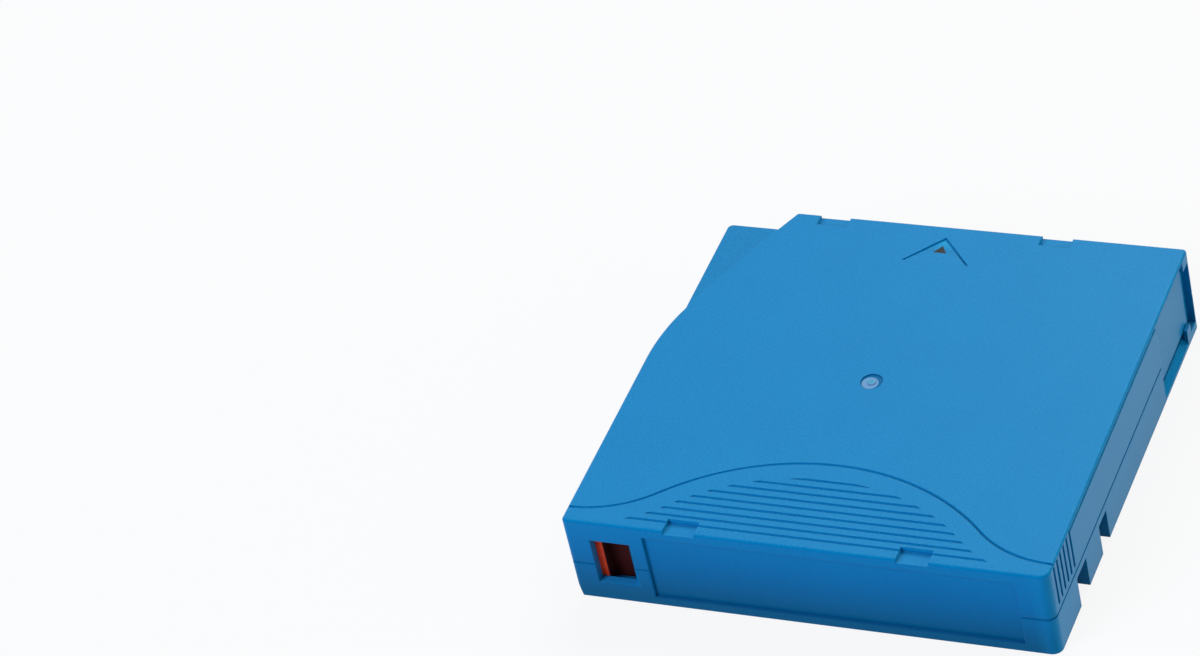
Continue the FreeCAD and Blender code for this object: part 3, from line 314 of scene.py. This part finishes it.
def triangle(m, tip=44.7, base=42.3, half=1.5):
    """A small printed triangle inside the arrow on the top face."""
    reach = m.times(m.calc("SUBTRACT", tip, m.at("Y")), half / (tip - base))
    side = m.ramp(m.calc("SUBTRACT", reach, m.off("X")), -SOFT, SOFT)
    foot = m.ramp(m.at("Y"), base - 0.05, base + 0.05)
    return lin(52, 44, 46), m.times(side, foot,
                                    m.ramp(m.at("Z"), *TOP_Z))


def case_plastic(name, low, high):
    """Moulded polycarbonate: fine spark-eroded grain, a faint mottle, and the
    touches above, each a colour and how far it covers the last; several of
    them are painted shade and painted light."""
    # the gloss is weak and tinted, which leaves the blue its low red
    m = Mat(name, Specular_IOR_Level=0.15, Specular_Tint=(0.0, 0.6, 0.5, 1.0))
    fine = m.noise(2.6, 3.0, 0.65)
    mottle = m.even(m.noise(0.06), -0.06, 0.06)
    # the label end is moulded smoother than the rest
    speck = m.times(m.calc("SUBTRACT", m.even(fine), 0.5),
                    m.ramp(m.facing("Y"), -0.9, -0.5, 0.45))
    shade = m.mix(low, high, m.calc("ADD", m.calc("ADD", speck, 0.5), mottle))
    for touch in (painted_top_sheen, painted_label_end_shade, parting_line_shade, engraved_lines_lit, rim_groove_lit,
                  gate_ring_shade, gate_scar, gate_dot, label_ledge, corner_shelf,
                  triangle):
        shade = m.mix(shade, *touch(m))
    m.set("Base Color", shade)
    m.set("Roughness", m.even(fine, 0.32, 0.4))
    m.bump(m.noise(3.4, 2.0, 0.6), 0.00004, 0.6, rounded=0.00022)
    return m.m


# ---- other materials ----
def plain_plastic(name, low, high, roughness=0.4):
    """Smooth moulded plastic with a faint mottle."""
    m = Mat(name, Roughness=roughness)
    m.set("Base Color", m.mix(low, high, m.even(m.noise(0.3, 3.0))))
    m.bump(m.noise(2.5), 0.00002, 0.5, rounded=0.0002)
    return m.m


def slider_plastic(name, low, high, shaded_red):
    """Red block; the plate that runs back behind the window is darker and
    duller, its dark red painted shade for the inside of the window."""
    m = Mat(name, Specular_IOR_Level=0.2)
    plate = m.ramp(m.at("X"), -45.9, -45.7)
    block = m.mix(low, high, m.even(m.noise(0.5, 3.0)))
    # painted shade: the plate behind the window takes the dark red
    m.set("Base Color", m.mix(block, shaded_red, plate))
    m.set("Roughness", m.ramp(plate, 0.0, 1.0, 0.35, 0.8))
    m.bump(m.noise(2.5), 0.00002, 0.5, rounded=0.0002)
    return m.m


def metal(name, low, high, roughness, stretch):
    """Steel with a fine mottle, which stretch can draw out into lines."""
    m = Mat(name, Metallic=1.0)
    lines = m.noise(1.0, 3.0, 0.6, stretch)
    m.set("Base Color", m.mix(low, high, m.even(lines)))
    m.set("Roughness", m.even(lines, roughness * 0.8, roughness * 1.25))
    m.bump(lines, 0.00001, 0.4)
    return m.m


spring = metal("spring_steel", lin(150, 150, 150), lin(190, 190, 188), 0.25,
               (4.0, 4.0, 4.0))
dress = (
    (case_plastic("case_blue", lin(0, 119, 175), lin(10, 141, 195)),
     ("upper_shell", "lower_shell", "door")),
    (slider_plastic("slider_red", lin(226, 62, 24), lin(236, 72, 32),
                    lin(58, 8, 7)),
     ("write_protect_slider",)),
    (plain_plastic("reel_grey", lin(172, 174, 176), lin(184, 186, 187)),
     ("reel_hub", "reel_upper_flange")),
    (plain_plastic("acetal_white", lin(222, 221, 215), lin(232, 231, 226)),
     ("release_plate", "brake_button")),
    (plain_plastic("clip_black", lin(34, 34, 36), lin(44, 44, 46)),
     ("pin_clip",)),
    (plain_plastic("chip_green", lin(24, 84, 52), lin(34, 98, 62)),
     ("memory_chip",)),
    (plain_plastic("tape_brown", lin(38, 30, 25), lin(50, 40, 33), 0.2),
     ("tape_pack", "tape_leader")),
    (metal("stamped_steel", lin(178, 178, 176), lin(208, 208, 205), 0.3,
           (0.6, 0.6, 6.0)),
     ("drive_plate", "leader_pin", "case_screw_front_left",
      "case_screw_front_right", "case_screw_rear_left",
      "case_screw_rear_right")),
    (spring,
     ("door_spring", "brake_spring", "pin_spring_lower", "pin_spring_upper")),
)
for material, names in dress:
    for n in names:
        mesh = nodes[n].data
        mesh.materials.clear()
        mesh.materials.append(material)


# ---- springs ----
STEPS = 36         # sections in a turn
RING = 10          # corners of the round wire
END_TURNS = 0.75   # flat turns at each end
EASE = 0.25        # share of the pitch that eases in and out


def coil_mesh(name, node, axis, turns, wire):
    """A coil of round wire that fills its CAD node's box."""
    lo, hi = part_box(node)
    mid = [(a + b) / 2 for a, b in zip(lo, hi)]
    side = [k for k in range(3) if k != axis]
    radius = (hi[side[0]] - lo[side[0]]) / 2 - wire / 2
    foot, head = lo[axis] + wire / 2, hi[axis] - wire / 2
    sections = int((turns + 2 * END_TURNS) * STEPS) + 1
    verts, faces = [], []
    for i in range(sections):
        t = i / STEPS
        a = 2 * math.pi * t
        rise = min(max((t - END_TURNS) / turns, 0), 1)
        rise = rise * rise * (3 - 2 * rise) * EASE + rise * (1 - EASE)
        for k in range(RING):
            b = 2 * math.pi * k / RING
            r = radius + math.cos(b) * wire / 2
            p = [0.0, 0.0, 0.0]
            p[side[0]] = mid[side[0]] + math.cos(a) * r
            p[side[1]] = mid[side[1]] + math.sin(a) * r
            p[axis] = foot + (head - foot) * rise + math.sin(b) * wire / 2
            verts.append(p)
    for i in range(0, (sections - 1) * RING, RING):
        for k in range(RING):
            m = (k + 1) % RING
            faces.append((i + k, i + m, i + RING + m, i + RING + k))
    faces.append(tuple(range(RING))[::-1])
    faces.append(tuple(range((sections - 1) * RING, sections * RING)))
    mesh = bpy.data.meshes.new(name)
    mesh.from_pydata(verts, [], faces)
    mesh.polygons.foreach_set("use_smooth", [True] * len(faces))
    mesh.materials.append(spring)
    return mesh


def coil(name, node, axis, turns, wire, end):
    """A coil in its CAD node's place, carried by the case body; the anchor
    that end picks, at the lower (0) or the upper (1) end of its axis, is not
    used."""
    mesh = coil_mesh(name, node, axis, turns, wire)
    ob = bpy.data.objects.new(name, mesh)
    bpy.context.scene.collection.objects.link(ob)
    lo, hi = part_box(node)
    anchor = [(a + b) / 2 for a, b in zip(lo, hi)]
    anchor[axis] = (lo, hi)[end][axis]
    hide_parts(node)
    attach(ob, "case")
    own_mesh(ob)


X, Y, Z = range(3)
coil("door_return_spring", "door_spring", axis=Y, turns=8, wire=0.00035,
     end=0)
coil("brake_return_spring", "brake_spring", axis=Z, turns=3, wire=0.0006,
     end=1)


# ---- studio ----
WORLD_LIGHT = 0.22
FLOOR_HALF = 3.0
FLOOR_Z = -0.0002    # just under the part
FLOOR_WHITE = 0.88   # share of the floor that is plain white to the camera
LAMPS = (            # name, place and size in metres, watts, colour
    ("fill", (-0.9, -1.3, 1.15), (1.0, 1.0), 29, (0.65, 0.76, 1.0)),
    ("rear", (0.15, 1.25, 1.25), (1.3, 1.0), 21.5, (1, 1, 1)),
    ("side", (1.7, 0.1, 0.8), (1.2, 1.0), 7, (1, 1, 1)),
)


def sees_white(tree, shader, kind, share):
    """What the camera, a reflection or a clear thing sees is white at
    strength 1 by this share, and the lit shader for the rest. All other
    light meets the shader alone."""
    path = tree.add("LightPath")
    white = tree.add(kind, {"Color": (1, 1, 1, 1), "Strength": 1.0})
    seen = path, "Is Camera Ray"
    for other in ("Is Glossy Ray", "Is Transmission Ray"):
        seen = tree.calc("MAXIMUM", seen, (path, other))
    return tree.add("MixShader", {0: tree.times(seen, share), 1: shader,
                                  2: (white, 0)}), "Shader"


def studio():
    """The world, a pale floor and three soft lamps."""
    world = bpy.data.worlds.new("studio")
    bpy.context.scene.world = world
    world.use_nodes = True
    sky = Tree(world.node_tree)
    light = sky.add("Background", {"Strength": WORLD_LIGHT})
    sky.add("OutputWorld", {"Surface": sees_white(
        sky, (light, "Background"), "Background", 1.0)})

    r = FLOOR_HALF
    floor_mesh = bpy.data.meshes.new("floor")
    floor_mesh.from_pydata([(-r, -r, 0), (r, -r, 0), (r, r, 0), (-r, r, 0)],
                           [], [(0, 1, 2, 3)])
    floor = bpy.data.objects.new("floor", floor_mesh)
    floor.location.z = FLOOR_Z
    bpy.context.scene.collection.objects.link(floor)
    pale = Mat("floor_pale", Roughness=0.9, Specular_IOR_Level=0.0,
               Base_Color=(0.75, 0.75, 0.75, 1))
    pale.put(sees_white(pale, (pale.b, "BSDF"), "Emission", FLOOR_WHITE),
             pale.out.inputs["Surface"])
    floor_mesh.materials.append(pale.m)

    aim = Vector((0, 0, 0))
    for name, place, size, power, colour in LAMPS:
        lamp = bpy.data.lights.new(name, "AREA")
        lamp.shape = "RECTANGLE"
        lamp.size, lamp.size_y = size
        lamp.energy = power
        lamp.color = colour
        ob = bpy.data.objects.new(name, lamp)
        ob.location = place
        ob.rotation_mode = "QUATERNION"
        ob.rotation_quaternion = (aim - Vector(place)).to_track_quat("-Z", "Y")
        bpy.context.scene.collection.objects.link(ob)
    bpy.context.scene.view_settings.view_transform = "Standard"


camera()
studio()
